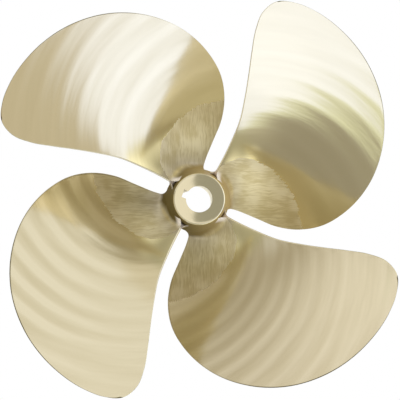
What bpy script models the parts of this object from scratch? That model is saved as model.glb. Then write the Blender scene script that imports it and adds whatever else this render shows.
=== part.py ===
"""Four-blade ship propeller, 24 in across with 20 in of pitch, turning right-handed.

The whole propeller is one bronze casting: a barrel-shaped hub with a taper bore and a
keyway, and four wide blades with the skew that keeps them quiet. Units are metres. The
shaft axis is +Z and points aft. The origin is the centre of the hub's forward face, on
which the propeller stands.
"""
import math

import bmesh
import bpy
from mathutils import Matrix, Vector
from mathutils.geometry import interpolate_bezier

INCH = 0.0254

# Driving dimensions of the propeller
BLADES = 4
RADIUS = 12 * INCH
PITCH = 20 * INCH
RAKE = 0.111                              # rise towards aft for each unit of radius
GENERATOR_HEIGHT = 0.084                  # of the generator line where it meets the axis
FIRST_GENERATOR = math.radians(37)        # direction of the first blade's generator line

# Hub, with the bore of a 1 3/4 in shaft that tapers 1 in 16
HUB_LENGTH = 5 * INCH
HUB_FORWARD_RADIUS = 0.0425
HUB_WIDEST_RADIUS = 0.0455
HUB_WIDEST_HEIGHT = 0.048
HUB_AFT_RADIUS = 0.0355
RIM_CHAMFER = 0.0015
BORE_FORWARD_RADIUS = 1.75 * INCH / 2
BORE_AFT_RADIUS = BORE_FORWARD_RADIUS - HUB_LENGTH / 16 / 2
KEYWAY_WIDTH = 7 / 16 * INCH
KEYWAY_DEPTH = 7 / 32 * INCH
KEYWAY_DIRECTION = math.radians(160)
HUB_SIDES = 72
HUB_ROWS = 9                              # of facets along the barrel

# Blade thickness: of the section's middle, run out to the axis and at the tip, and of
# its rounded edges
MIDDLE_AT_AXIS = 0.027
MIDDLE_AT_TIP = 0.0035
EDGE_AT_AXIS = 0.0032
EDGE_AT_TIP = 0.0022

# Fillets where a blade grows out of the hub, at its edges and along its middle
FILLET_AT_EDGES = 0.007
FILLET_IN_MIDDLE = 0.016
ROOT_DEPTH = 0.005                        # of the blade's foot inside the hub's wall

# Outline of a blade as on a propeller drawing: fraction of the radius, and degrees from
# the generator line. Both edges start at the hub and meet at the corner of the tip.
LEADING_EDGE = (
    (0.10, -47.0), (0.20, -48.9), (0.30, -52.1), (0.40, -53.8), (0.50, -52.1),
    (0.60, -47.9), (0.70, -40.9), (0.80, -31.9), (0.88, -22.3), (0.94, -12.6),
    (0.985, -0.4), (1.00, 13.0), (0.992, 22.0),
)
TIP_CORNER = (0.977, 27.1)
TRAILING_EDGE = (
    (0.10, 15.6), (0.20, 19.6), (0.30, 22.4), (0.40, 24.7), (0.50, 28.1), (0.60, 30.9),
    (0.70, 33.1), (0.80, 34.4), (0.88, 34.1), (0.945, 31.6),
)

# How finely the blades are drawn
FILLET_HEIGHTS = (-ROOT_DEPTH, 0.0, 0.001, 0.003, 0.007, 0.011, 0.016)
INNER_RADII = (0.225, 0.26, 0.30)         # rows that stay round the axis, of the radius
OUTER_ROWS = 20                           # rows from there to the corner of the tip
LAST_ROW = 0.992                          # where the last row ends, of the way to the tip
CHORD_STEPS = 10
NOSE_STEPS = 4
CURVE_STEPS = 12

HUB_MIDDLE_RADIUS = (HUB_WIDEST_RADIUS + HUB_AFT_RADIUS) / 2
HUB_GRIP_RADIUS = INNER_RADII[-1] * RADIUS  # where a blade stops following the hub's barrel


def clear_scene():
    for old in list(bpy.data.objects):
        bpy.data.objects.remove(old, do_unlink=True)


def bronze():
    material = bpy.data.materials.new("polished_bronze")
    material.use_nodes = True
    shader = material.node_tree.nodes["Principled BSDF"]
    shader.inputs["Base Color"].default_value = (0.78, 0.66, 0.42, 1.0)
    shader.inputs["Metallic"].default_value = 1.0
    shader.inputs["Roughness"].default_value = 0.25
    return material


def new_object(name, mesh_builder):
    bmesh.ops.recalc_face_normals(mesh_builder, faces=mesh_builder.faces)
    mesh = bpy.data.meshes.new(name)
    mesh_builder.to_mesh(mesh)
    mesh_builder.free()
    made = bpy.data.objects.new(name, mesh)
    bpy.context.collection.objects.link(made)
    return made


def as_cutter(made):
    made.hide_render = True
    made.display_type = "WIRE"
    return made


def mix(start, end, share):
    return start + (end - start) * share


# Hub

def hub_radius(height):
    """Radius of the barrel: two parabolas that meet where it is widest."""
    if height < HUB_WIDEST_HEIGHT:
        share = (HUB_WIDEST_HEIGHT - height) / HUB_WIDEST_HEIGHT
        return mix(HUB_WIDEST_RADIUS, HUB_FORWARD_RADIUS, share * share)
    share = (height - HUB_WIDEST_HEIGHT) / (HUB_LENGTH - HUB_WIDEST_HEIGHT)
    return mix(HUB_WIDEST_RADIUS, HUB_AFT_RADIUS, share * share)


def hub():
    """A turned ring, from the profile of its wall."""
    profile = [(BORE_FORWARD_RADIUS, 0), (hub_radius(0) - RIM_CHAMFER, 0)]
    for row in range(HUB_ROWS + 1):
        height = mix(RIM_CHAMFER, HUB_LENGTH - RIM_CHAMFER, row / HUB_ROWS)
        profile.append((hub_radius(height), height))
    profile.append((hub_radius(HUB_LENGTH) - RIM_CHAMFER, HUB_LENGTH))
    profile.append((BORE_AFT_RADIUS, HUB_LENGTH))
    builder = bmesh.new()
    ring = [builder.verts.new((radius, 0, height)) for radius, height in profile]
    wall = [builder.edges.new(pair) for pair in zip(ring, ring[1:] + ring[:1])]
    bmesh.ops.spin(
        builder, geom=ring + wall, cent=(0, 0, 0), axis=(0, 0, 1), angle=math.tau,
        steps=HUB_SIDES, use_merge=True,
    )
    return new_object("propeller", builder)


def keyway_cutter():
    """A bar that lies along the bore's taper and stands out of the bore by the key's depth."""
    past_the_ends = 0.01
    lean = math.atan2(BORE_AFT_RADIUS - BORE_FORWARD_RADIUS, HUB_LENGTH)
    inside_the_bore = BORE_AFT_RADIUS
    bore_middle = (BORE_FORWARD_RADIUS + BORE_AFT_RADIUS) / 2
    builder = bmesh.new()
    bmesh.ops.create_cube(builder, size=1)
    size = (KEYWAY_DEPTH + inside_the_bore, KEYWAY_WIDTH, HUB_LENGTH + 2 * past_the_ends)
    reach = KEYWAY_DEPTH - size[0] / 2
    bmesh.ops.scale(builder, vec=size, verts=builder.verts)
    bmesh.ops.translate(builder, vec=(reach, 0, 0), verts=builder.verts)
    bmesh.ops.rotate(
        builder, cent=(0, 0, 0), matrix=Matrix.Rotation(lean, 3, "Y"), verts=builder.verts)
    bmesh.ops.translate(builder, vec=(bore_middle, 0, HUB_LENGTH / 2), verts=builder.verts)
    bmesh.ops.rotate(
        builder, cent=(0, 0, 0), matrix=Matrix.Rotation(KEYWAY_DIRECTION, 3, "Z"),
        verts=builder.verts)
    return as_cutter(new_object("keyway_cutter", builder))


# Blade outline

def drawn_point(station):
    share, degrees = station
    angle = math.radians(degrees)
    return Vector((math.cos(angle), math.sin(angle), 0)) * share * RADIUS


def smooth_curve(points):
    """Points along a smooth curve through the given ones, denser than they are."""
    steps = [end - start for start, end in zip(points, points[1:])]
    directions = [steps[0].normalized()]
    for before, after in zip(steps, steps[1:]):
        # the nearer of two neighbours counts for more, as on a circle through all three
        lean = before / before.length_squared + after / after.length_squared
        directions.append(lean.normalized())
    directions.append(steps[-1].normalized())
    curve = [points[0]]
    for index, step in enumerate(steps):
        start, end = points[index], points[index + 1]
        leaving = directions[index] * step.length / 3
        arriving = directions[index + 1] * step.length / 3
        curve += interpolate_bezier(
            start, start + leaving, end - arriving, end, CURVE_STEPS + 1)[1:]
    return curve


def outline_edges():
    """The leading and the trailing edge, each as points from the hub to the tip's corner."""
    stations = LEADING_EDGE + (TIP_CORNER,) + TRAILING_EDGE[::-1]
    curve = smooth_curve([drawn_point(station) for station in stations])
    corner = CURVE_STEPS * len(LEADING_EDGE)
    return curve[:corner + 1], curve[corner:][::-1]


def with_direction(edge, place):
    """A point of the edge, and the edge's direction towards the tip there."""
    index = min(int(place), len(edge) - 2)
    point = edge[index].lerp(edge[index + 1], place - index)
    return point, (edge[index + 1] - edge[index]).normalized()


def at_radius(edge, radius):
    for index in range(len(edge) - 1):
        low, high = edge[index].length, edge[index + 1].length
        if low <= radius <= high:
            return index + (radius - low) / (high - low)
    raise ValueError("the edge doesn't reach this radius")


def at_share(edge, first, share):
    """Where a share of the edge's length beyond the place first is reached."""
    steps = [(end - start).length for start, end in zip(edge, edge[1:])]
    place = math.ceil(first)
    left = share * sum(steps[place:])
    while left > steps[place]:
        left -= steps[place]
        place += 1
    return place + left / steps[place]


# Blade surface, in a frame whose +X is the generator line

def face_height(radius, turn):
    return GENERATOR_HEIGHT + PITCH / math.tau * turn + RAKE * radius


def face_normal(radius, turn):
    """Normal of the face, which is the aft side: its radial, tangential and axial part."""
    return Vector((-RAKE * radius, -PITCH / math.tau, radius)).normalized()


def outward(radius, turn, direction, side):
    """Direction in the blade's surface that leads square out of its edge."""
    angle = Vector((math.cos(turn), math.sin(turn), 0))
    across = Vector((-angle.y, angle.x, 0))
    radial, tangential = direction.dot(angle), direction.dot(across)
    rise = RAKE * radial + PITCH / math.tau * tangential / radius
    along = Vector((radial, tangential, rise)).normalized()
    return along.cross(face_normal(radius, turn)) * side


def placed(radius, turn, shift, grip):
    """The point at a shift from the face, drawn in or out with the hub's barrel by grip."""
    height = face_height(radius, turn) + shift.z
    on_barrel = radius + hub_radius(height) - HUB_MIDDLE_RADIUS
    reach = mix(radius + shift.x, on_barrel, grip)
    angle = turn + shift.y / radius
    return Vector((reach * math.cos(angle), reach * math.sin(angle), height))


def fillet(height_above_hub, chord_share):
    """How far a fillet stands out of the blade at a height above the hub."""
    radius = mix(FILLET_AT_EDGES, FILLET_IN_MIDDLE, math.sin(math.pi * chord_share))
    left = 1 - min(max(height_above_hub / radius, 0), 1)
    return radius * (1 - math.sqrt(1 - left * left))


def section(leading, trailing, height_above_hub):
    """The closed loop of one section, from (point, direction) of its two edges.

    It runs over the face from leading to trailing edge, round the trailing edge, and back
    over the other side.
    """
    ends = []
    for (point, direction), side in ((leading, -1), (trailing, 1)):
        radius, turn = point.length, math.atan2(point.y, point.x)
        out = outward(radius, turn, direction, side)
        edge = mix(EDGE_AT_AXIS, EDGE_AT_TIP, radius / RADIUS)
        ends.append((radius - out.x * edge / 2, turn - out.y * edge / 2 / radius, out, edge))
    chord = (leading[0] - trailing[0]).length

    face, back = [], []
    for step in range(CHORD_STEPS + 1):
        share = (1 - math.cos(math.pi * step / CHORD_STEPS)) / 2
        radius = mix(ends[0][0], ends[1][0], share)
        turn = mix(ends[0][1], ends[1][1], share)
        edge = mix(ends[0][3], ends[1][3], share)
        grip = (1 - min(max(height_above_hub / (HUB_GRIP_RADIUS - HUB_MIDDLE_RADIUS), 0), 1)) ** 2
        middle = mix(MIDDLE_AT_AXIS, MIDDLE_AT_TIP, radius / RADIUS)
        swell = (middle - edge) * min(chord / (RADIUS / 4), 1)
        thickness = edge + swell * (1 - (2 * share - 1) ** 2)
        more = fillet(height_above_hub, share)
        normal = face_normal(radius, turn)
        face.append(placed(radius, turn, normal * more, grip))
        back.append(placed(radius, turn, normal * (-thickness - more), grip))

    noses = []
    for (radius, turn, out, edge), sign in zip(ends, (-1, 1)):
        normal = face_normal(radius, turn)
        nose = []
        for step in range(1, NOSE_STEPS):
            angle = math.pi / 2 - math.pi * step / NOSE_STEPS
            reach = edge / 2 + fillet(height_above_hub, 0)
            shift = (out * math.cos(angle) + normal * math.sin(angle)) * reach
            nose.append(placed(radius, turn, shift - normal * edge / 2, grip))
        noses.append(nose[::sign])
    leading_nose, trailing_nose = noses
    return face + trailing_nose + back[::-1] + leading_nose


def blade_sections():
    leading, trailing = outline_edges()
    heights = list(FILLET_HEIGHTS)
    heights += [share * RADIUS - HUB_MIDDLE_RADIUS for share in INNER_RADII]
    sections = []
    for height in heights:
        radius = HUB_MIDDLE_RADIUS + height
        pair = [with_direction(edge, at_radius(edge, radius)) for edge in (leading, trailing)]
        sections.append(section(*pair, height))
    first = [at_radius(edge, HUB_GRIP_RADIUS) for edge in (leading, trailing)]
    for row in range(1, OUTER_ROWS + 1):
        share = LAST_ROW * (1 - (1 - row / OUTER_ROWS) ** 1.3)
        pair = [
            with_direction(edge, at_share(edge, start, share))
            for edge, start in zip((leading, trailing), first)
        ]
        sections.append(section(*pair, HUB_GRIP_RADIUS - HUB_MIDDLE_RADIUS))
    return sections


def blade_solid(number):
    """One blade, lofted through its sections, turned to its place round the axis."""
    builder = bmesh.new()
    loops = []
    for points in blade_sections():
        ring = [builder.verts.new(point) for point in points]
        loops.append([builder.edges.new(pair) for pair in zip(ring, ring[1:] + ring[:1])])
    for lower, upper in zip(loops, loops[1:]):
        bmesh.ops.bridge_loops(builder, edges=lower + upper)
    for end in (loops[0], loops[-1]):
        bmesh.ops.edgeloop_fill(builder, edges=end)
    turn = FIRST_GENERATOR + math.tau * number / BLADES
    bmesh.ops.rotate(
        builder, cent=(0, 0, 0), matrix=Matrix.Rotation(turn, 3, "Z"), verts=builder.verts)
    return as_cutter(new_object(f"blade_{number + 1}_solid", builder))


# Casting

def add_boolean(made, tool, operation):
    modifier = made.modifiers.new(tool.name, "BOOLEAN")
    modifier.object = tool
    modifier.operation = operation
    modifier.solver = "EXACT"


def shade(made):
    made.data.shade_smooth()
    made.data.set_sharp_from_angle(angle=math.radians(35))


def propeller():
    casting = hub()
    casting.data.materials.append(bronze())
    shade(casting)
    for number in range(BLADES):
        add_boolean(casting, blade_solid(number), "UNION")
    add_boolean(casting, keyway_cutter(), "DIFFERENCE")
    return casting


clear_scene()
propeller()
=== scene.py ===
import math

import bmesh
import bpy
from mathutils import Matrix, Vector
from mathutils.geometry import interpolate_bezier


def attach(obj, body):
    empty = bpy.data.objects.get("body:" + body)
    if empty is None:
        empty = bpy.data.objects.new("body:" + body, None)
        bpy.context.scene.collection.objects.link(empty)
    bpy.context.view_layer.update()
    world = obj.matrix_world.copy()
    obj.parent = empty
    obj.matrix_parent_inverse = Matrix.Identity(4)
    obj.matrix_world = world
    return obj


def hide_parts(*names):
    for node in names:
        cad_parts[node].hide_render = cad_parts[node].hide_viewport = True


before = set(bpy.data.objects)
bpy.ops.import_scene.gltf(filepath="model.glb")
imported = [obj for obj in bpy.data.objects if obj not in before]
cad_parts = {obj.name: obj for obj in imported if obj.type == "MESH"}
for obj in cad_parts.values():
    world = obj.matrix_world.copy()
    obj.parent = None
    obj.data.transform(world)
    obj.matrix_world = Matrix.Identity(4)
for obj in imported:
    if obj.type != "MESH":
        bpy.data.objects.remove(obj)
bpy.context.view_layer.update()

# A four-blade ship propeller in polished bronze, seen from aft in a white studio.
# Metres. The shaft axis is +Z and points aft, and the propeller stands on its hub.

inch = 0.0254


def mix(start, end, share):
    return start + (end - start) * share


def clamp(value, low=0.0, high=1.0):
    return min(max(value, low), high)


def smoothStep(value, low, high):
    share = clamp((value - low) / (high - low))
    return share * share * (3 - 2 * share)


# sRGB hex to linear
def hexToLinear(code):
    channels = [int(code[i:i + 2], 16) / 255 for i in (1, 3, 5)]
    linear = [c / 12.92 if c <= 0.04045 else ((c + 0.055) / 1.055) ** 2.4 for c in channels]
    return (*linear, 1.0)


# adds a node, sets its options, and sets or links its inputs, where a node stands for its first
# output in use
def addNode(tree, kind, inputs=None, **settings):
    node = tree.nodes.new("ShaderNode" + kind)
    for name, value in settings.items():
        setattr(node, name, value)
    for name, value in (inputs or {}).items():
        if isinstance(value, bpy.types.Node):
            value = next(socket for socket in value.outputs if socket.enabled)
        if isinstance(value, bpy.types.NodeSocket):
            tree.links.new(value, node.inputs[name])
        else:
            node.inputs[name].default_value = value
    return node


# turns a bmesh into a shown piece of the propeller
def finishPiece(name, bm, material):
    mesh = bpy.data.meshes.new(name)
    bm.to_mesh(mesh)
    bm.free()
    mesh.materials.append(material)
    piece = bpy.data.objects.new(name, mesh)
    bpy.context.scene.collection.objects.link(piece)
    mesh.shade_smooth()
    return piece


def joinPropeller(piece):
    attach(piece, "root")
    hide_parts("propeller")


# Hub

hubShape = {
    "length": 5 * inch,
    "forwardRadius": 0.0425,
    "widestRadius": 0.0455,
    "widestHeight": 0.048,
    "aftRadius": 0.0355,
    "rimBevel": 0.0012,
    "boreForwardRadius": 1.75 * inch / 2,
    "boreAftRadius": 1.75 * inch / 2 - 5 * inch / 32,      # taper of 1 in 16
    "keyWidth": 7 / 16 * inch,
    "keyDepth": 7 / 32 * inch,
    "keyDirection": math.radians(160),
    "faceSlope": 0.040,          # the aft face is faced off a hair hollow, and more by its rim
    "rimSlope": 0.060,
    "sides": 180,
    "barrelRows": 30,
    "dishRows": 10,
}


# radius of the hub's barrel: two parabolas that meet where it is widest
def hubRadius(height):
    widest = hubShape["widestHeight"]
    if height < widest:
        share = (widest - height) / widest
        return mix(hubShape["widestRadius"], hubShape["forwardRadius"], share * share)
    share = (height - widest) / (hubShape["length"] - widest)
    return mix(hubShape["widestRadius"], hubShape["aftRadius"], share * share)


def onCircle(edge, radius, height):
    near = 0.00001
    return all(
        abs(vert.co.xy.length - radius) < near and abs(vert.co.z - height) < near
        for vert in edge.verts)


# a bar that lies along the bore's taper and stands out of the bore by the key's depth
def cutKeyway(hub):
    shape = hubShape
    pastEnds = 0.01
    fromWall = shape["boreAftRadius"]
    boreMiddle = (shape["boreForwardRadius"] + shape["boreAftRadius"]) / 2
    lean = math.atan2(shape["boreAftRadius"] - shape["boreForwardRadius"], shape["length"])
    size = Vector((shape["keyDepth"] + fromWall, shape["keyWidth"], shape["length"] + 2 * pastEnds))
    bm = bmesh.new()
    bmesh.ops.create_cube(bm, size=1)
    bmesh.ops.scale(bm, vec=size, verts=bm.verts)
    bmesh.ops.translate(bm, vec=(shape["keyDepth"] - size.x / 2, 0, 0), verts=bm.verts)
    bmesh.ops.rotate(bm, cent=(0, 0, 0), matrix=Matrix.Rotation(lean, 3, "Y"), verts=bm.verts)
    bmesh.ops.translate(bm, vec=(boreMiddle, 0, shape["length"] / 2), verts=bm.verts)
    turn = Matrix.Rotation(shape["keyDirection"], 3, "Z")
    bmesh.ops.rotate(bm, cent=(0, 0, 0), matrix=turn, verts=bm.verts)
    mesh = bpy.data.meshes.new("keywayCutter")
    bm.to_mesh(mesh)
    bm.free()
    cutter = bpy.data.objects.new("keywayCutter", mesh)
    bpy.context.scene.collection.objects.link(cutter)
    modifier = hub.modifiers.new("keyway", "BOOLEAN")
    modifier.operation = "DIFFERENCE"
    modifier.solver = "EXACT"
    modifier.object = cutter
    cutMesh = bpy.data.meshes.new_from_object(hub.evaluated_get(bpy.context.evaluated_depsgraph_get()))
    hub.modifiers.clear()
    uncut = hub.data
    hub.data = cutMesh
    cutMesh.name = uncut.name
    bpy.data.meshes.remove(uncut)
    bpy.data.objects.remove(cutter)


# turned from the profile of its wall, with the keyway cut along the bore
def makeHub(material):
    shape = hubShape
    top = shape["length"]
    bore = shape["boreAftRadius"]
    profile = [(shape["boreForwardRadius"], 0)]
    for row in range(shape["barrelRows"] + 1):
        height = top * row / shape["barrelRows"]
        profile.append((hubRadius(height), height))
    for row in range(1, shape["dishRows"] + 1):
        share = row / shape["dishRows"]
        fall = shape["faceSlope"] * share + shape["rimSlope"] * (1 - (1 - share) ** 5) / 5
        fall *= shape["aftRadius"] - bore
        profile.append((mix(shape["aftRadius"], bore, share), top - fall))
    bm = bmesh.new()
    ring = [bm.verts.new((radius, 0, height)) for radius, height in profile]
    wall = [bm.edges.new(pair) for pair in zip(ring, ring[1:] + ring[:1])]
    bmesh.ops.spin(
        bm, geom=ring + wall, cent=(0, 0, 0), axis=(0, 0, 1), angle=math.tau,
        steps=shape["sides"], use_merge=True)
    rims = [
        edge for edge in bm.edges
        if onCircle(edge, shape["forwardRadius"], 0) or onCircle(edge, shape["aftRadius"], top)]
    bmesh.ops.bevel(
        bm, geom=rims, offset=shape["rimBevel"], affect="EDGES", segments=3, profile=0.5,
        material=-1)
    bmesh.ops.recalc_face_normals(bm, faces=bm.faces)
    hub = finishPiece("hub", bm, material)
    cutKeyway(hub)
    hub.data.set_sharp_from_angle(angle=math.radians(30))
    joinPropeller(hub)


# Blades

bladeShape = {
    "count": 4,
    "radius": 12 * inch - 0.0003,    # buffing took a hair off the cast edge
    "pitch": 20 * inch,
    "rake": 0.111,
    "generatorHeight": 0.084,
    "firstGenerator": math.radians(37),
    "middleAtAxis": 0.027,       # thickness of a section's middle, run out to the axis
    "middleAtTip": 0.0035,
    "edgeAtAxis": 0.0032,        # thickness of the rounded edges
    "edgeAtTip": 0.0022,
    "filletAtEdges": 0.010,
    "filletInMiddle": 0.016,
    "rootDepth": 0.003,
    # fraction of the radius, and degrees from the generator line
    "leadingEdge": (
        (0.10, -47.0), (0.20, -48.9), (0.30, -52.1), (0.40, -53.8), (0.50, -52.1),
        (0.60, -47.9), (0.70, -40.9), (0.80, -31.9), (0.88, -22.3), (0.94, -12.6),
        (0.985, -0.4), (1.00, 13.0), (0.992, 22.0)),
    "tipCorner": (0.977, 27.1),
    "trailingEdge": (
        (0.10, 15.6), (0.20, 19.6), (0.30, 22.4), (0.40, 24.7), (0.50, 28.1),
        (0.60, 30.9), (0.70, 33.1), (0.80, 34.4), (0.88, 34.1), (0.945, 31.6)),
    "gripUpTo": 0.30,            # a blade follows the hub's barrel up to here, of the radius
    "rootRows": 14,
    "innerRows": 12,
    "outerRows": 120,
    "lastRow": 0.997,
    "chordSteps": 56,
    "noseSteps": 8,
    "curveSteps": 24,
}

# Crests that the belt left as it was run across each blade, one after the other, at these
# radii along the generator line. Where the crests mirror less light than the hollows, the
# depth is negative. The film and painted band shade along them, and the streaks, say how much
# of each a blade has, and rim is the width of the painted dark reflection along its edge.
beltShape = {
    "slant": 0.100,              # metres inward for each radian towards the trailing edge
    "from": 0.09,                # radii from which the crests show, and show in full
    "fullFrom": 0.14,
    "paintedBandsFrom": 0.6,             # the painted bands are strongest by the leading edge, in radians of turn
    "paintedBandsFullFrom": -0.4,
    "blades": (
        {"crests": (0.150, 0.180, 0.210, 0.240, 0.270, 0.300),
         "depth": 0.00010, "filmAndPaintedBands": 0.15, "streaks": 0.25, "rim": 0.0026},
        {"crests": (0.158, 0.201, 0.235, 0.264, 0.295),
         "depth": 0.00010, "filmAndPaintedBands": 0.25, "streaks": 0.45, "rim": 0.0030},
        {"crests": (0.160, 0.192, 0.223, 0.250, 0.276, 0.316),
         "depth": -0.00012, "filmAndPaintedBands": 0.8, "streaks": 0.6, "rim": 0.0037},
        {"crests": (0.152, 0.176, 0.199, 0.226, 0.252, 0.277, 0.307),
         "depth": -0.00012, "filmAndPaintedBands": 0.5, "streaks": 0.7, "rim": 0.0035},
    ),
}

hubMiddle = (hubShape["widestRadius"] + hubShape["aftRadius"]) / 2
gripRadius = bladeShape["gripUpTo"] * bladeShape["radius"]


def drawnPoint(station):
    share, degrees = station
    angle = math.radians(degrees)
    return Vector((math.cos(angle), math.sin(angle), 0)) * share * bladeShape["radius"]


def smoothCurve(points):
    steps = [end - start for start, end in zip(points, points[1:])]
    directions = [steps[0].normalized()]
    for before, after in zip(steps, steps[1:]):
        # the nearer of two neighbours counts for more, as on a circle through all three
        lean = before / before.length_squared + after / after.length_squared
        directions.append(lean.normalized())
    directions.append(steps[-1].normalized())
    curve = [points[0]]
    for index, step in enumerate(steps):
        start, end = points[index], points[index + 1]
        leaving = directions[index] * step.length / 3
        arriving = directions[index + 1] * step.length / 3
        curve += interpolate_bezier(
            start, start + leaving, end - arriving, end, bladeShape["curveSteps"] + 1)[1:]
    return curve


# leading and trailing edge, each from the hub to the tip's corner
def outlineEdges():
    leading, trailing = bladeShape["leadingEdge"], bladeShape["trailingEdge"]
    stations = leading + (bladeShape["tipCorner"],) + trailing[::-1]
    curve = smoothCurve([drawnPoint(station) for station in stations])
    corner = bladeShape["curveSteps"] * len(leading)
    return curve[:corner + 1], curve[corner:][::-1]


# a point of the edge and the direction of the edge there, eased between its steps
def placeOnEdge(edge, place):
    index = min(int(place), len(edge) - 2)
    share = place - index
    point = edge[index].lerp(edge[index + 1], share)
    low, high = max(index - 1, 0), min(index + 2, len(edge) - 1)
    here = (edge[index + 1] - edge[low]).normalized()
    there = (edge[high] - edge[index]).normalized()
    return point, here.lerp(there, share).normalized()


def placeAtRadius(edge, radius):
    for index in range(len(edge) - 1):
        low, high = edge[index].length, edge[index + 1].length
        if low <= radius <= high:
            return index + (radius - low) / (high - low)
    raise ValueError("the edge doesn't reach this radius")


def placeAtShare(edge, first, share):
    steps = [(end - start).length for start, end in zip(edge, edge[1:])]
    place = math.ceil(first)
    left = share * sum(steps[place:])
    while left > steps[place]:
        left -= steps[place]
        place += 1
    return place + left / steps[place]


# Blade surface, in a frame whose +X is the generator line

def faceHeight(radius, turn):
    pitchRise = bladeShape["pitch"] / math.tau * turn
    return bladeShape["generatorHeight"] + pitchRise + bladeShape["rake"] * radius


# radial, tangential and axial part
def faceNormal(radius, turn):
    rake, pitch = bladeShape["rake"], bladeShape["pitch"] / math.tau
    return Vector((-rake * radius, -pitch, radius)).normalized()


# the way out of an edge, in the blade's surface
def outOfEdge(radius, turn, direction, side):
    angle = Vector((math.cos(turn), math.sin(turn), 0))
    across = Vector((-angle.y, angle.x, 0))
    radial, tangential = direction.dot(angle), direction.dot(across)
    rise = bladeShape["rake"] * radial + bladeShape["pitch"] / math.tau * tangential / radius
    along = Vector((radial, tangential, rise)).normalized()
    return along.cross(faceNormal(radius, turn)) * side


# point at a shift from the face, drawn in or out with the hub's barrel by grip
def placed(radius, turn, shift, grip):
    height = faceHeight(radius, turn) + shift.z
    onBarrel = radius + hubRadius(height) - hubMiddle
    reach = mix(radius + shift.x, onBarrel, grip)
    angle = turn + shift.y / radius
    return Vector((reach * math.cos(angle), reach * math.sin(angle), height))


def filletWidth(above, chordShare):
    radius = mix(
        bladeShape["filletAtEdges"], bladeShape["filletInMiddle"],
        math.sin(math.pi * chordShare))
    left = 1 - clamp(above / radius)
    return radius * (1 - math.sqrt(1 - left * left))


# crests and hollows of the belt on one blade, as a wave of about -1 to 1
def beltWave(radius, turn, number):
    crests = beltShape["blades"][number]["crests"]
    across = radius + beltShape["slant"] * turn
    index = 0
    while index < len(crests) - 2 and across > crests[index + 1]:
        index += 1
    phase = math.tau * (across - crests[index]) / (crests[index + 1] - crests[index])
    # crests are a bit sharper than hollows, and higher in some places than in others
    wave = math.cos(phase) + 0.2 * math.cos(2 * phase)
    wave *= 0.75 + 0.25 * math.sin(turn * 4 + 3 * number + radius * 30)
    return wave * smoothStep(radius, beltShape["from"], beltShape["fullFrom"])


def beltHollow(radius, turn, number, chordShare):
    fade = smoothStep(chordShare * (1 - chordShare), 0, 0.03)      # none at the edges
    return beltShape["blades"][number]["depth"] * beltWave(radius, turn, number) * fade


# one section of a blade: each point with its radius and turn on the blade
def sectionRing(leading, trailing, above, number):
    ends = []
    for (point, direction), side in ((leading, -1), (trailing, 1)):
        radius, turn = point.length, math.atan2(point.y, point.x)
        out = outOfEdge(radius, turn, direction, side)
        edge = mix(bladeShape["edgeAtAxis"], bladeShape["edgeAtTip"], radius / bladeShape["radius"])
        ends.append((radius - out.x * edge / 2, turn - out.y * edge / 2 / radius, out, edge))
    chord = (leading[0] - trailing[0]).length
    grip = (1 - clamp(above / (gripRadius - hubMiddle))) ** 2

    face, back = [], []
    steps = bladeShape["chordSteps"]
    for step in range(steps + 1):
        share = (1 - math.cos(math.pi * step / steps)) / 2
        radius, turn, edge = (mix(ends[0][i], ends[1][i], share) for i in (0, 1, 3))
        middle = mix(
            bladeShape["middleAtAxis"], bladeShape["middleAtTip"], radius / bladeShape["radius"])
        swell = (middle - edge) * min(chord / (bladeShape["radius"] / 4), 1)
        thickness = edge + swell * (1 - (2 * share - 1) ** 2)
        more = filletWidth(above, share)
        hollow = beltHollow(radius, turn, number, share)
        normal = faceNormal(radius, turn)
        face.append((placed(radius, turn, normal * (more + hollow), grip), radius, turn))
        back.append((placed(radius, turn, normal * (hollow - thickness - more), grip), radius, turn))

    noses = []
    steps = bladeShape["noseSteps"]
    for (radius, turn, out, edge), order in zip(ends, (-1, 1)):
        normal = faceNormal(radius, turn)
        reach = edge / 2 + filletWidth(above, 0)
        nose = []
        for step in range(1, steps):
            angle = math.pi / 2 - math.pi * step / steps
            shift = (out * math.cos(angle) + normal * math.sin(angle)) * reach
            nose.append((placed(radius, turn, shift - normal * edge / 2, grip), radius, turn))
        noses.append(nose[::order])
    leadingNose, trailingNose = noses
    return face + trailingNose + back[::-1] + leadingNose


def bladeRings(number):
    leading, trailing = outlineEdges()
    tallest = bladeShape["filletInMiddle"]
    rootRows, innerRows = bladeShape["rootRows"], bladeShape["innerRows"]
    gap = gripRadius - hubMiddle - tallest
    heights = [-bladeShape["rootDepth"]]
    heights += [tallest * (row / rootRows) ** 2 for row in range(rootRows + 1)]
    heights += [tallest + gap * (row + 1) / innerRows for row in range(innerRows)]
    rings = []
    for above in heights:
        radius = hubMiddle + above
        pair = [placeOnEdge(edge, placeAtRadius(edge, radius)) for edge in (leading, trailing)]
        rings.append(sectionRing(*pair, above, number))
    first = [placeAtRadius(edge, gripRadius) for edge in (leading, trailing)]
    outerRows = bladeShape["outerRows"]
    for row in range(1, outerRows + 1):
        share = bladeShape["lastRow"] * (1 - (1 - row / outerRows) ** 1.3)     # closer by the tip
        pair = [
            placeOnEdge(edge, placeAtShare(edge, start, share))
            for edge, start in zip((leading, trailing), first)]
        rings.append(sectionRing(*pair, gripRadius - hubMiddle, number))
    return rings


# radius up to which a blade's root is ground
def groundBorder(turn, number):
    bend = groundFinish["borderBend"] * max(turn, 0) ** 2
    return groundFinish["borders"][number] + groundFinish["borderSlope"] * turn + bend


# how far a point of a section is in the rim of painted dark reflection along its leading edge, or round the
# tip
def rimShare(ring, column, outward, reach):
    (start, narrow), (tip, wide) = castSkinAndPaintedLight["rimFrom"], castSkinAndPaintedLight["rimAtTip"]
    trailingNose = bladeShape["chordSteps"] + bladeShape["noseSteps"] // 2
    leadingNose = len(ring) - bladeShape["noseSteps"] // 2
    reach *= mix(narrow, wide, smoothStep(outward, start, tip))
    near = (ring[column][0] - ring[leadingNose][0]).length
    if outward > tip:
        near = min(near, (ring[column][0] - ring[trailingNose][0]).length)
    return clamp((reach - near) / castSkinAndPaintedLight["rimSoft"])


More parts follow.
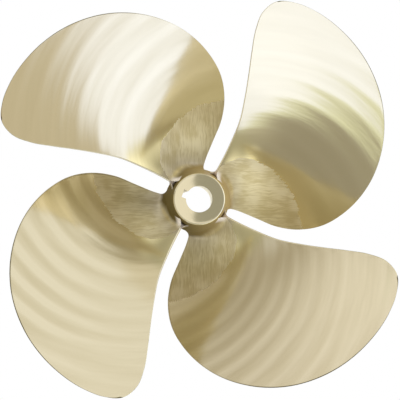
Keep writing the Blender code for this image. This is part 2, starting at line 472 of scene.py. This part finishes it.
# a grid rolled round the blade's sections and welded along its seam
def makeBlade(number, material):
    rings = bladeRings(number)
    around = len(rings[0])
    bm = bmesh.new()
    bmesh.ops.create_grid(bm, x_segments=len(rings) - 1, y_segments=around, size=0.5)
    bladeMap = bm.loops.layers.uv.new("bladeMap")
    strokeMap = bm.loops.layers.uv.new("strokeMap")
    filmAndPaintedBands = bm.verts.layers.float.new("filmAndPaintedBands")
    toBorder = bm.verts.layers.float.new("toBorder")
    streaky = bm.verts.layers.float.new("streaky")
    inRim = bm.verts.layers.float.new("inRim")
    belt = beltShape["blades"][number]
    turnOfBlade = bladeShape["firstGenerator"] + math.tau * number / bladeShape["count"]
    spin = Matrix.Rotation(turnOfBlade, 3, "Z")
    onBlade = {}
    for vert in bm.verts:
        row = round((vert.co.x + 0.5) * (len(rings) - 1))
        column = round((vert.co.y + 0.5) * around) % around
        point, radius, turn = rings[row][column]
        vert.co = spin @ point
        vert[inRim] = rimShare(rings[row], column, row / len(rings), belt["rim"])
        # painted shade in bands along the belt's waves, strongest by the leading edge
        fade = 1 - smoothStep(turn, beltShape["paintedBandsFullFrom"], beltShape["paintedBandsFrom"])
        vert[filmAndPaintedBands] = beltWave(radius, turn, number) * belt["filmAndPaintedBands"] * fade
        vert[toBorder] = groundBorder(turn, number) - radius
        vert[streaky] = belt["streaks"]
        angle = turn - groundFinish["strokeTurn"]
        onBlade[vert] = ((turn, radius), (radius * math.cos(angle), radius * math.sin(angle)))
    for face in bm.faces:
        for loop in face.loops:
            loop[bladeMap].uv, loop[strokeMap].uv = onBlade[loop.vert]
    bmesh.ops.remove_doubles(bm, verts=bm.verts, dist=0.000001)
    bmesh.ops.holes_fill(bm, edges=[edge for edge in bm.edges if edge.is_boundary], sides=0)
    bmesh.ops.recalc_face_normals(bm, faces=bm.faces)
    joinPropeller(finishPiece(f"blade{number + 1}", bm, material))


# Materials

# The coarse belt is run straight over the roots, before the faces are buffed
groundFinish = {
    "strokeTurn": math.radians(-37),     # of the strokes, from the generator line
    "strokeLength": 0.026,
    "strokeWidth": 0.0021,       # a 60 grit belt's lines are finer, drawn as coarse as they show
    "strokeDepth": 0.00006,
    "waverLength": 0.022,        # the hand that guides the belt wavers over this length
    "waver": 0.008,
    "borders": (0.0950, 0.0870, 0.0890, 0.0855),     # radius on each blade's generator line
    "borderSlope": -0.071,       # metres of radius for each radian towards the trailing edge
    "borderBend": -0.14,
    "borderLumps": 0.012,
    "borderTeeth": 0.014,
    "borderSoft": 0.001,
    "lumpSize": 0.036,
    "patchSize": 0.025,
    "patchiness": 0.9,
    "oxideUpTo": 0.30,           # of the strokes' height, where no patch lifts or lowers it
    "cleanFrom": 0.70,
    "dark": "#DCCD9C",           # oxide stays in the scratches
    "light": "#F3E7BF",
    "roughness": 0.40,
}

# brown oxide skin in the fillets and on the hub's barrel, where no belt reaches. Its darkness is partly
# painted shade of the fillets' crease, and it is dark on one side and light on the side the light comes
# from, as painted shade and light. It is dull and no longer mirrors like metal.
castSkinAndPaintedLight = {
    # painted shade and light: the skin's colour on its shaded side, and on its lit side
    "dark": "#6A5C32",
    "light": "#BFA870",
    "towards": math.radians(20),
    "paintedShadeToLight": 0.090,
    "upTo": 0.045,
    "moreAtLeadingEdge": 0.004,
    "moreFrom": -0.2,            # radians from the generator line, where it starts and is all there
    "mostFrom": -0.9,
    "borderLumps": 0.010,
    "borderInside": 0.004,
    "borderOutside": 0.003,
    "metallic": 0.12,
    "specular": 0.0,
    "roughness": 0.50,
    "edge": "#7A7048",           # painted dark reflection round the tips and along the leading edges
    "rimFrom": (0.35, 0.5),      # share of the way out to the tip, and of the rim's width there
    "rimAtTip": (0.85, 1.1),
    "rimSoft": 0.0008,
    "rimIsCastUpTo": 0.052,      # the rounded edges keep their cast skin where they meet the hub
    "rimFade": 0.010,
    "paintedHighlight": "#FFF6E4",         # painted highlight on the trailing edges' roots
    "paintedHighlightFrom": 0.103,
    "paintedHighlightUpTo": 0.053,
    "paintedHighlightSoft": 0.010,
    "paintedHighlightMetallic": 0.3,
}

buffedFinish = {
    "colour": "#F5E9BA",
    "filmAndPaintedBands": "#D3C490",           # the buff's duller film, a little everywhere, and painted shade in bands along the belt's waves
    "filmEverywhere": 0.2,
    "paintedBandShade": 0.7,
    "roughness": 0.12,
    "roughnessMore": 0.06,
    "streakLength": 0.080,
    "streakWidth": 0.011,
    "streakDepth": 0.00010,
}

turnedFinish = {
    "ringSpacing": 0.0008,       # the tool's feed is finer, drawn as coarse as it shows
    "ringDepth": 0.000004,
    "roughness": 0.07,
    "upTo": 0.0016,              # below the hub's top, where it gives way to the barrel
    "soft": 0.0002,
    "barrelRoughness": 0.30,
    "grainSize": 0.0055,         # of the lumps that the sand mould left on the barrel
    "grainDepth": 0.0001,
}


def startMaterial(name):
    material = bpy.data.materials.new(name)
    material.use_nodes = True
    material.node_tree.nodes.clear()
    return material, material.node_tree


# the bronze's shader, with each finish laid over the ones before it where its share is 1
def layFinishes(tree, base, finishes, relief):
    shown = dict(base)
    for share, finish in finishes:
        for name, value in finish.items():
            if name == "Base Color":
                shown[name] = addNode(tree, "Mix", {
                    0: share, 6: shown[name], 7: value}, data_type="RGBA")
            else:
                shown[name] = addNode(tree, "Mix", {"Factor": share, "A": shown[name], "B": value})
    bump = addNode(tree, "Bump", {"Height": relief, "Distance": 1.0, "Strength": 1.0})
    shader = addNode(tree, "BsdfPrincipled", {**shown, "Normal": bump})
    addNode(tree, "OutputMaterial", {"Surface": shader})


# the skin's finish at a place, with painted shade: dark on one side, light towards the side the light falls
# on
def skinWithPaintedSideShade(tree, place):
    towards = (math.cos(castSkinAndPaintedLight["towards"]), math.sin(castSkinAndPaintedLight["towards"]), 0)
    half = castSkinAndPaintedLight["paintedShadeToLight"] / 2
    # painted shade: darker away from the light, lighter towards it
    side = addNode(tree, "VectorMath", {0: place, 1: towards}, operation="DOT_PRODUCT")
    share = addNode(tree, "MapRange", {
        "Value": side, "From Min": -half, "From Max": half}, interpolation_type="SMOOTHSTEP")
    colour = addNode(tree, "Mix", {
        0: share, 6: hexToLinear(castSkinAndPaintedLight["dark"]), 7: hexToLinear(castSkinAndPaintedLight["light"])},
        data_type="RGBA")
    return {
        "Base Color": colour, "Roughness": castSkinAndPaintedLight["roughness"],
        "Metallic": castSkinAndPaintedLight["metallic"], "Specular IOR Level": castSkinAndPaintedLight["specular"]}


# Manganese bronze, belt ground and buffed: pale gold that mirrors softly, and satin at the root
def bladeBronze():
    material, tree = startMaterial("buffedManganeseBronze")
    ground, skinAndPaintedLight, buffed = groundFinish, castSkinAndPaintedLight, buffedFinish

    onBlade = addNode(tree, "UVMap", uv_map="bladeMap")
    bladePlace = addNode(tree, "SeparateXYZ", {"Vector": onBlade})
    turn, radius = bladePlace.outputs["X"], bladePlace.outputs["Y"]
    onStroke = addNode(tree, "UVMap", uv_map="strokeMap")
    place = addNode(tree, "TexCoord").outputs["Object"]
    height = addNode(tree, "SeparateXYZ", {"Vector": place}).outputs["Z"]
    filmAndPaintedBands = addNode(tree, "Attribute", attribute_name="filmAndPaintedBands").outputs["Fac"]
    toBorder = addNode(tree, "Attribute", attribute_name="toBorder").outputs["Fac"]
    streaky = addNode(tree, "Attribute", attribute_name="streaky").outputs["Fac"]
    inRim = addNode(tree, "Attribute", attribute_name="inRim").outputs["Fac"]

    # the coarse belt's strokes
    waver = addNode(tree, "TexNoise", {
        "Vector": place, "Scale": 1 / ground["waverLength"], "Detail": 2.0})
    wavering = addNode(tree, "VectorMath", {
        0: waver.outputs["Color"], 1: (ground["waver"], ground["waver"], 0), 2: onStroke},
        operation="MULTIPLY_ADD")
    strokePlace = addNode(tree, "VectorMath", {
        0: wavering, 1: (1 / ground["strokeLength"], 1 / ground["strokeWidth"], 1)},
        operation="MULTIPLY")
    strokes = addNode(tree, "TexNoise", {
        "Vector": strokePlace, "Scale": 1.0, "Detail": 3.0, "Roughness": 0.6})

    # border of the ground root: lumpy, with teeth where strokes end
    lumps = addNode(tree, "TexNoise", {
        "Vector": place, "Scale": 1 / ground["lumpSize"], "Detail": 2.0})
    lumpy = addNode(tree, "Math", {
        0: lumps, 1: ground["borderLumps"], 2: toBorder}, operation="MULTIPLY_ADD")
    toothed = addNode(tree, "Math", {
        0: strokes, 1: ground["borderTeeth"], 2: lumpy}, operation="MULTIPLY_ADD")
    middle = (ground["borderLumps"] + ground["borderTeeth"]) / 2
    isGround = addNode(tree, "MapRange", {
        "Value": toothed, "From Min": middle - ground["borderSoft"],
        "From Max": middle + ground["borderSoft"]}, interpolation_type="SMOOTHSTEP")

    # border of the cast skin: lumpy, and further out towards the leading edge
    skinLimit = addNode(tree, "MapRange", {
        "Value": turn, "From Min": skinAndPaintedLight["moreFrom"], "From Max": skinAndPaintedLight["mostFrom"],
        "To Min": skinAndPaintedLight["upTo"], "To Max": skinAndPaintedLight["upTo"] + skinAndPaintedLight["moreAtLeadingEdge"]},
        interpolation_type="SMOOTHSTEP")
    toSkinLimit = addNode(tree, "Math", {0: skinLimit, 1: radius}, operation="SUBTRACT")
    lumpySkin = addNode(tree, "Math", {
        0: lumps, 1: skinAndPaintedLight["borderLumps"], 2: toSkinLimit}, operation="MULTIPLY_ADD")
    inFillet = addNode(tree, "MapRange", {
        "Value": lumpySkin, "From Min": skinAndPaintedLight["borderLumps"] / 2 - skinAndPaintedLight["borderInside"],
        "From Max": skinAndPaintedLight["borderLumps"] / 2 + skinAndPaintedLight["borderOutside"]},
        interpolation_type="SMOOTHSTEP")
    onNose = addNode(tree, "MapRange", {"Value": inRim}, interpolation_type="SMOOTHSTEP")
    nearHub = addNode(tree, "MapRange", {
        "Value": radius, "From Min": skinAndPaintedLight["rimIsCastUpTo"] + skinAndPaintedLight["rimFade"],
        "From Max": skinAndPaintedLight["rimIsCastUpTo"]}, interpolation_type="SMOOTHSTEP")
    noseNearHub = addNode(tree, "Math", {0: onNose, 1: nearHub}, operation="MULTIPLY")
    # where the skin lies, with its painted shade
    isCastSkinWithShade = addNode(tree, "Math", {0: inFillet, 1: noseNearHub}, operation="MAXIMUM")
    # painted dark reflection on the rounded edges, beyond the skin
    isPaintedDarkEdge = addNode(tree, "Math", {0: onNose, 1: isCastSkinWithShade}, operation="SUBTRACT")

    # painted highlight on the corner where a trailing edge meets the hub
    aft = addNode(tree, "MapRange", {
        "Value": height, "From Min": skinAndPaintedLight["paintedHighlightFrom"],
        "From Max": skinAndPaintedLight["paintedHighlightFrom"] + skinAndPaintedLight["paintedHighlightSoft"]}, interpolation_type="SMOOTHSTEP")
    inward = addNode(tree, "MapRange", {
        "Value": radius, "From Min": skinAndPaintedLight["paintedHighlightUpTo"],
        "From Max": skinAndPaintedLight["paintedHighlightUpTo"] - skinAndPaintedLight["paintedHighlightSoft"]}, interpolation_type="SMOOTHSTEP")
    isPaintedHighlight = addNode(tree, "Math", {0: aft, 1: inward}, operation="MULTIPLY")

    # the buff's streaks follow the belt's hollows
    alongArc = addNode(tree, "Math", {0: turn, 1: radius}, operation="MULTIPLY")
    onBelt = addNode(tree, "Math", {
        0: turn, 1: beltShape["slant"], 2: radius}, operation="MULTIPLY_ADD")
    beltPlace = addNode(tree, "CombineXYZ", {"X": alongArc, "Y": onBelt, "Z": height})
    streakPlace = addNode(tree, "VectorMath", {
        0: beltPlace, 1: (1 / buffed["streakLength"], 1 / buffed["streakWidth"], 1)},
        operation="MULTIPLY")
    streaks = addNode(tree, "TexNoise", {
        "Vector": streakPlace, "Scale": 1.0, "Detail": 3.0, "Roughness": 0.55})
    offMean = addNode(tree, "Math", {0: streaks, 1: 0.5}, operation="SUBTRACT")
    streakFilm = addNode(tree, "Math", {
        0: offMean, 1: streaky, 2: buffed["filmEverywhere"]}, operation="MULTIPLY_ADD")
    # painted shade in bands along the belt's waves, laid over the buff's duller film and streaks
    filmAndBandShade = addNode(tree, "Math", {
        0: filmAndPaintedBands, 1: -buffed["paintedBandShade"], 2: streakFilm}, operation="MULTIPLY_ADD")
    buffedColour = addNode(tree, "Mix", {
        0: filmAndBandShade, 6: hexToLinear(buffed["colour"]), 7: hexToLinear(buffed["filmAndPaintedBands"])},
        data_type="RGBA")
    buffedRough = addNode(tree, "Math", {
        0: streaks, 1: buffed["roughnessMore"], 2: buffed["roughness"]},
        operation="MULTIPLY_ADD")

    # oxide in patches and between the strokes
    patches = addNode(tree, "TexNoise", {
        "Vector": place, "Scale": 1 / ground["patchSize"], "Detail": 2.0})
    worn = addNode(tree, "Math", {
        0: patches, 1: ground["patchiness"], 2: strokes}, operation="MULTIPLY_ADD")
    meanPatch = ground["patchiness"] / 2
    isClean = addNode(tree, "MapRange", {
        "Value": worn, "From Min": ground["oxideUpTo"] + meanPatch,
        "From Max": ground["cleanFrom"] + meanPatch}, interpolation_type="SMOOTHSTEP")
    groundColour = addNode(tree, "Mix", {
        0: isClean, 6: hexToLinear(ground["dark"]), 7: hexToLinear(ground["light"])},
        data_type="RGBA")

    streakRelief = addNode(tree, "Math", {
        0: streaks, 1: buffed["streakDepth"]}, operation="MULTIPLY")
    strokeRelief = addNode(tree, "Math", {
        0: strokes, 1: ground["strokeDepth"]}, operation="MULTIPLY")
    relief = addNode(tree, "Mix", {"Factor": isGround, "A": streakRelief, "B": strokeRelief})
    base = {
        "Base Color": buffedColour, "Roughness": buffedRough, "Metallic": 1.0,
        "Specular IOR Level": 0.5}
    layFinishes(tree, base, (
        (isGround, {"Base Color": groundColour, "Roughness": ground["roughness"]}),
        (isCastSkinWithShade, skinWithPaintedSideShade(tree, place)),
        (isPaintedDarkEdge, {"Base Color": hexToLinear(skinAndPaintedLight["edge"]), "Roughness": skinAndPaintedLight["roughness"]}),
        (isPaintedHighlight, {"Base Color": hexToLinear(skinAndPaintedLight["paintedHighlight"]), "Metallic": skinAndPaintedLight["paintedHighlightMetallic"]}),
    ), relief)
    return material


# Manganese bronze, turned on the faces: fine rings that stretch a reflection, and a sand-cast
# barrel under its skin, which carries painted shade, dark on one side and light on the other
def hubBronze():
    material, tree = startMaterial("turnedManganeseBronze")
    turned = turnedFinish
    place = addNode(tree, "TexCoord").outputs["Object"]
    height = addNode(tree, "SeparateXYZ", {"Vector": place}).outputs["Z"]
    flat = addNode(tree, "VectorMath", {0: place, 1: (1, 1, 0)}, operation="MULTIPLY")
    radius = addNode(tree, "VectorMath", {0: flat}, operation="LENGTH")
    faceStart = hubShape["length"] - turned["upTo"]
    onFace = addNode(tree, "MapRange", {
        "Value": height, "From Min": faceStart - turned["soft"],
        "From Max": faceStart + turned["soft"]})
    bore = hubShape["boreForwardRadius"]
    onBarrel = addNode(tree, "MapRange", {
        "Value": radius, "From Min": bore + 0.001, "From Max": bore + 0.002})
    isBarrelSkinWithShade = addNode(tree, "Math", {0: onBarrel, 1: onFace}, operation="SUBTRACT", use_clamp=True)

    ringPlace = addNode(tree, "Math", {
        0: radius, 1: 1 / turned["ringSpacing"]}, operation="MULTIPLY")
    rings = addNode(tree, "TexNoise", {
        "W": ringPlace, "Scale": 1.0, "Detail": 2.0}, noise_dimensions="1D")
    grain = addNode(tree, "TexNoise", {
        "Vector": place, "Scale": 1 / turned["grainSize"], "Detail": 3.0})
    ringRelief = addNode(tree, "Math", {0: rings, 1: turned["ringDepth"]}, operation="MULTIPLY")
    grainRelief = addNode(tree, "Math", {0: grain, 1: turned["grainDepth"]}, operation="MULTIPLY")
    relief = addNode(tree, "Mix", {"Factor": onFace, "A": grainRelief, "B": ringRelief})

    base = {
        "Base Color": hexToLinear(buffedFinish["colour"]),
        "Roughness": turned["barrelRoughness"], "Metallic": 1.0, "Specular IOR Level": 0.5}
    # the barrel's skin carries painted shade, dark on one side and light on the other
    skinAndPaintedLight = skinWithPaintedSideShade(tree, place)
    skinAndPaintedLight["Roughness"] = turned["barrelRoughness"]
    layFinishes(tree, base, (
        (isBarrelSkinWithShade, skinAndPaintedLight),
        (onFace, {"Roughness": turned["roughness"]}),
    ), relief)
    return material


# Studio

studio = {
    "lookAt": Vector((0.00213, -0.00054, 0.1026)),
    "lookFrom": Vector((-0.0442, -0.0307, 1.0)),     # direction of the camera from there
    "cameraDistance": 2.2327,
    "lens": 144,
    "sensor": 36,
    "floorRadius": 3.5,
    "coveRadius": 1.5,
    "coveSteps": 12,
    "wallTop": 4.0,
    "sides": 64,
}


def makeCamera():
    camera = bpy.data.cameras.new("photoCamera")
    camera.lens = studio["lens"]
    camera.sensor_width = studio["sensor"]
    camera.clip_end = 50
    made = bpy.data.objects.new("photoCamera", camera)
    bpy.context.scene.collection.objects.link(made)
    back = studio["lookFrom"].normalized()
    right = Vector((0, 1, 0)).cross(back).normalized()
    up = back.cross(right)
    turn = Matrix((right, up, back)).transposed().to_4x4()
    made.matrix_world = Matrix.Translation(studio["lookAt"] + back * studio["cameraDistance"]) @ turn
    bpy.context.scene.camera = made


# white paper that runs from the floor up into a round wall, lit so evenly that no shadow shows
def makeSweep():
    paper = bpy.data.materials.new("litWhitePaper")
    paper.use_nodes = True
    shader = paper.node_tree.nodes["Principled BSDF"]
    shader.inputs["Base Color"].default_value = hexToLinear("#000000")
    shader.inputs["Specular IOR Level"].default_value = 0.0
    shader.inputs["Roughness"].default_value = 1.0
    shader.inputs["Emission Color"].default_value = hexToLinear("#FFFFFF")
    shader.inputs["Emission Strength"].default_value = 1.0
    bm = bmesh.new()
    floor, cove = studio["floorRadius"], studio["coveRadius"]
    profile = [(0, 0), (floor, 0)]
    for step in range(1, studio["coveSteps"] + 1):
        angle = math.pi / 2 * step / studio["coveSteps"]
        profile.append((floor + cove * math.sin(angle), cove * (1 - math.cos(angle))))
    profile.append((floor + cove, studio["wallTop"]))
    ring = [bm.verts.new((radius, 0, height)) for radius, height in profile]
    wall = [bm.edges.new(pair) for pair in zip(ring, ring[1:])]
    bmesh.ops.spin(
        bm, geom=ring + wall, cent=(0, 0, 0), axis=(0, 0, 1), angle=math.tau,
        steps=studio["sides"], use_merge=True)
    bmesh.ops.remove_doubles(bm, verts=bm.verts, dist=0.0001)
    bmesh.ops.recalc_face_normals(bm, faces=bm.faces)
    sweep = finishPiece("whiteSweep", bm, paper)
    sweep.visible_glossy = False     # the metal mirrors the lights and the dim room instead
    sweep.visible_shadow = False
    # paper inside the hub's ring, which the bore's wall mirrors
    bm = bmesh.new()
    bmesh.ops.create_circle(
        bm, cap_ends=True, segments=48, radius=hubShape["boreForwardRadius"] - 0.0005)
    finishPiece("paperUnderBore", bm, paper)


# What the metal mirrors. Places are on a ceiling one unit overhead, or on a floor one unit
# below, along the studio's long side and square to it. Each light is a rectangle with soft
# sides, painted over the ones before it, and its colour counts level times. With a tilt, its
# sides across lean that much.
lightAxis = math.radians(-22)        # of the studio's long side, from right to up in the picture
overhead = (
    # pale wall to the lower left, then the white wall to the left
    {"along": (-60, 0.1), "across": (-60, -0.1), "soft": (0.3, 0.3), "colour": "#B3ADAC", "level": 1},
    {"along": (-60, -0.4), "across": (0.0, 1.29), "soft": (0.3, 0.16), "colour": "#DEDBDF", "level": 1},
    {"along": (-1.4, 0.0), "across": (0.0, 1.29), "soft": (0.4, 0.16), "colour": "#E9EAFB", "level": 1.03},
    # what the big softbox lights of the ceiling and of the wall below
    {"along": (-0.9, 0.5), "across": (-60, -1.9), "soft": (0.6, 0.8), "colour": "#D1D1E1", "level": 1},
    {"along": (-0.6, 0.6), "across": (-1.0, 0.2), "soft": (1.0, 0.9), "colour": "#EFEEFF", "level": 1},
    {"along": (0.05, 60), "across": (-60, -0.4), "soft": (0.15, 0.1), "colour": "#9E9A98", "level": 1},
    {"along": (1.6, 60), "across": (-0.95, 0.0), "soft": (1.0, 0.9), "colour": "#CCCBC9", "level": 1},
    {"along": (-0.1, 0.7), "across": (0.2, 4.0), "soft": (0.1, 0.2), "colour": "#CCC6C5", "level": 1},
    # the big softbox, and its brighter middle
    {"along": (0.45, 60), "across": (-0.475, 60), "soft": (0.28, 0.03), "tilt": 0.07,
     "colour": "#CED6FF", "level": 1.76},
    {"along": (0.0, 0.6), "across": (-0.475, 0.05), "soft": (0.1, 0.03), "tilt": 0.07,
     "colour": "#CED6FF", "level": 1.81},
    {"along": (0.65, 1.3), "across": (-0.475, 0.1), "soft": (0.3, 0.03), "tilt": 0.07,
     "colour": "#CED6FF", "level": 1.92},
    # its lower border, less blue
    {"along": (0.0, 60), "across": (-0.51, -0.40), "soft": (0.1, 0.06), "tilt": 0.07,
     "colour": "#EEF6EC", "level": 1},
    # a gap between them, straight overhead
    {"along": (-0.1, 0.35), "across": (-0.2, 0.25), "soft": (0.05, 0.05), "colour": "#F0EFFB", "level": 1},
)
underneath = (
    # the table, lit through the gaps between the blades
    {"along": (-1.5, -0.65), "across": (-0.3, 0.4), "soft": (0.2, 0.2), "colour": "#C5C4DE", "level": 0.8},
    {"along": (-0.08, 1.2), "across": (0.28, 1.4), "soft": (0.2, 0.2), "colour": "#CBCEEA", "level": 1.05},
    {"along": (-0.6, -0.1), "across": (0.15, 1.2), "soft": (0.15, 0.2), "colour": "#C2C7F4", "level": 1.85},
    {"along": (-0.35, 0.08), "across": (0.2, 0.6), "soft": (0.15, 0.2), "colour": "#C2C7F4", "level": 1.5},
    {"along": (-0.7, -0.4), "across": (-0.6, -0.12), "soft": (0.1, 0.1), "colour": "#C8CCF4", "level": 1.0},
    {"along": (-0.43, -0.18), "across": (-0.6, -0.1), "soft": (0.1, 0.1), "colour": "#C8CCF4", "level": 1.9},
    {"along": (-0.6, -0.03), "across": (-1.2, -0.4), "soft": (0.1, 0.3), "colour": "#C7CBFF", "level": 1.1},
    {"along": (0.15, 0.45), "across": (-1.2, -0.3), "soft": (0.1, 0.1), "colour": "#C8C6D6", "level": 0.68},
    {"along": (0.4, 1.2), "across": (-0.7, -0.1), "soft": (0.2, 0.1), "colour": "#CDC8D2", "level": 0.95},
    {"along": (1.2, 1.8), "across": (-0.8, -0.35), "soft": (0.2, 0.1), "colour": "#D2D0DC", "level": 1.2},
    {"along": (0.6, 1.1), "across": (0.1, 0.4), "soft": (0.1, 0.1), "colour": "#CDC8D2", "level": 0.75},
    # the shade right under the propeller
    {"along": (-0.22, 0.27), "across": (-0.2, 0.27), "soft": (0.1, 0.1), "colour": "#8C867C", "level": 1},
)
dimRoom = {"above": "#A29B8E", "below": "#A7A4AA"}
# dark cloth straight overhead, between two places to the right and two up in the picture
cloth = {"right": (-0.33, 0.066), "up": (-0.31, 0.150), "soft": 0.010, "colour": "#A2A2A4"}

# Low glow round the propeller, as guessed from what the blades mirror: the level of the table's
# rim, below, and of the wall's foot, above. Each stretch starts at its own direction, in
# degrees from right towards up in the picture, and gives way to the next.
horizon = {
    "stretches": (
        {"from": -180, "rim": 0.42, "foot": 0.42},       # the last stretch has the same levels
        {"from": -162, "rim": 0.88, "foot": 0.69},       # pale at the left
        {"from": -142, "rim": 0.43, "foot": 0.44},
        {"from": -122, "rim": 0.88, "foot": 0.68},       # and along the lower side
        {"from": -84, "rim": 0.93, "foot": 1.82},        # bright wall to the lower right
        {"from": -52, "rim": 1.20, "foot": 0.43},
        {"from": -37, "rim": 0.29, "foot": 0.46},        # dark gap
        {"from": -11, "rim": 0.41, "foot": 1.75},        # bright wall at the right
        {"from": 22, "rim": 0.43, "foot": 0.90},
        {"from": 52, "rim": 1.00, "foot": 1.54},         # and to the upper right
        {"from": 67, "rim": 0.21, "foot": 0.30},         # dark gap at the upper side
        {"from": 97, "rim": 0.79, "foot": 0.80},
        {"from": 127, "rim": 0.43, "foot": 0.41},
        {"from": 142, "rim": 0.60, "foot": 0.60},
        {"from": 157, "rim": 0.42, "foot": 0.42},
    ),
    "soft": 15,
    "rimUpTo": -0.15,            # the rim gives way to the foot between these heights
    "footFrom": 0.12,
    "dim": "#FFFAE6",            # tint where it is dim, and where it is bright
    "bright": "#F6FAFF",
    "brightFrom": 1.67,
    "lowest": 0.25,              # the glow gives way to the lights between these heights
    "highest": 0.33,
}


def makeWorld():
    world = bpy.data.worlds.new("studioLight")
    bpy.context.scene.world = world
    world.use_nodes = True
    tree = world.node_tree
    tree.nodes.clear()

    # share of a direction's place that lies between two sides, with soft ends
    def between(place, sides, soft):
        middle, half = (sides[0] + sides[1]) / 2, (sides[1] - sides[0]) / 2
        offMiddle = addNode(tree, "Math", {0: place, 1: middle}, operation="SUBTRACT")
        away = addNode(tree, "Math", {0: offMiddle}, operation="ABSOLUTE")
        return addNode(tree, "MapRange", {
            "Value": away, "From Min": half + soft / 2, "From Max": half - soft / 2},
            interpolation_type="SMOOTHSTEP")

    # paints a colour over another between two sides along, and two across
    def paint(colour, glow, along, across, place, soft):
        mask = addNode(tree, "Math", {
            0: between(place[0], along, soft[0]), 1: between(place[1], across, soft[1])},
            operation="MULTIPLY")
        return addNode(tree, "Mix", {0: mask, 6: colour, 7: glow}, data_type="RGBA")

    # a direction's place on the ceiling or the floor
    def placeOf(direction):
        onPlane = addNode(tree, "VectorMath", {0: direction, 1: steep}, operation="DIVIDE")
        parts = addNode(tree, "SeparateXYZ", {"Vector": onPlane})
        return parts.outputs["X"], parts.outputs["Y"]

    direction = addNode(tree, "TexCoord").outputs["Generated"]
    parts = addNode(tree, "SeparateXYZ", {"Vector": direction})
    height = parts.outputs["Z"]
    level = addNode(tree, "Math", {0: height}, operation="ABSOLUTE")
    # places stay finite at the horizon
    steep = addNode(tree, "Math", {0: level, 1: 0.02}, operation="MAXIMUM")
    turned = addNode(tree, "VectorRotate", {
        "Vector": direction, "Angle": -lightAxis}, rotation_type="Z_AXIS")
    along, across = placeOf(turned)
    halves = []
    for lights, room in ((overhead, dimRoom["above"]), (underneath, dimRoom["below"])):
        colour = hexToLinear(room)
        for light in lights:
            leaning = addNode(tree, "Math", {
                0: along, 1: light.get("tilt", 0.0), 2: across}, operation="MULTIPLY_ADD")
            glow = [channel * light["level"] for channel in hexToLinear(light["colour"])]
            colour = paint(
                colour, glow, light["along"], light["across"], (along, leaning), light["soft"])
        halves.append(colour)
    ceiling, floor = halves
    ceiling = paint(
        ceiling, hexToLinear(cloth["colour"]), cloth["right"], cloth["up"], placeOf(direction),
        (cloth["soft"], cloth["soft"]))
    isAbove = addNode(tree, "MapRange", {"Value": height, "From Min": -0.05, "From Max": 0.05})
    lit = addNode(tree, "Mix", {0: isAbove, 6: floor, 7: ceiling}, data_type="RGBA")

    azimuth = addNode(tree, "Math", {
        0: parts.outputs["Y"], 1: parts.outputs["X"]}, operation="ARCTAN2")
    degrees = addNode(tree, "Math", {0: azimuth}, operation="DEGREES")
    first, *others = horizon["stretches"]
    levels = (first["rim"], first["foot"], 0)
    for stretch in others:
        mask = addNode(tree, "MapRange", {
            "Value": degrees, "From Min": stretch["from"] - horizon["soft"] / 2,
            "From Max": stretch["from"] + horizon["soft"] / 2}, interpolation_type="SMOOTHSTEP")
        levels = addNode(tree, "Mix", {
            0: mask, 4: levels, 5: (stretch["rim"], stretch["foot"], 0)}, data_type="VECTOR")
    rimAndFoot = addNode(tree, "SeparateXYZ", {"Vector": levels})
    isFoot = addNode(tree, "MapRange", {
        "Value": height, "From Min": horizon["rimUpTo"], "From Max": horizon["footFrom"]})
    level = addNode(tree, "Mix", {
        "Factor": isFoot, "A": rimAndFoot.outputs["X"], "B": rimAndFoot.outputs["Y"]})
    isBright = addNode(tree, "Math", {0: level, 1: horizon["brightFrom"]}, operation="DIVIDE")
    tint = addNode(tree, "Mix", {
        0: isBright, 6: hexToLinear(horizon["dim"]), 7: hexToLinear(horizon["bright"])},
        data_type="RGBA")
    glow = addNode(tree, "VectorMath", {0: tint, "Scale": level}, operation="SCALE")
    isLow = addNode(tree, "MapRange", {
        "Value": steep, "From Min": horizon["highest"], "From Max": horizon["lowest"]},
        interpolation_type="SMOOTHSTEP")
    room = addNode(tree, "Mix", {0: isLow, 6: lit, 7: glow}, data_type="RGBA")
    background = addNode(tree, "Background", {"Color": room})
    addNode(tree, "OutputWorld", {"Surface": background})


print("camera and studio")
makeCamera()
makeSweep()
makeWorld()
bpy.context.scene.view_settings.view_transform = "Standard"

print("hub")
makeHub(hubBronze())

bronze = bladeBronze()
for number in range(bladeShape["count"]):
    print("blade", number + 1)
    makeBlade(number, bronze)
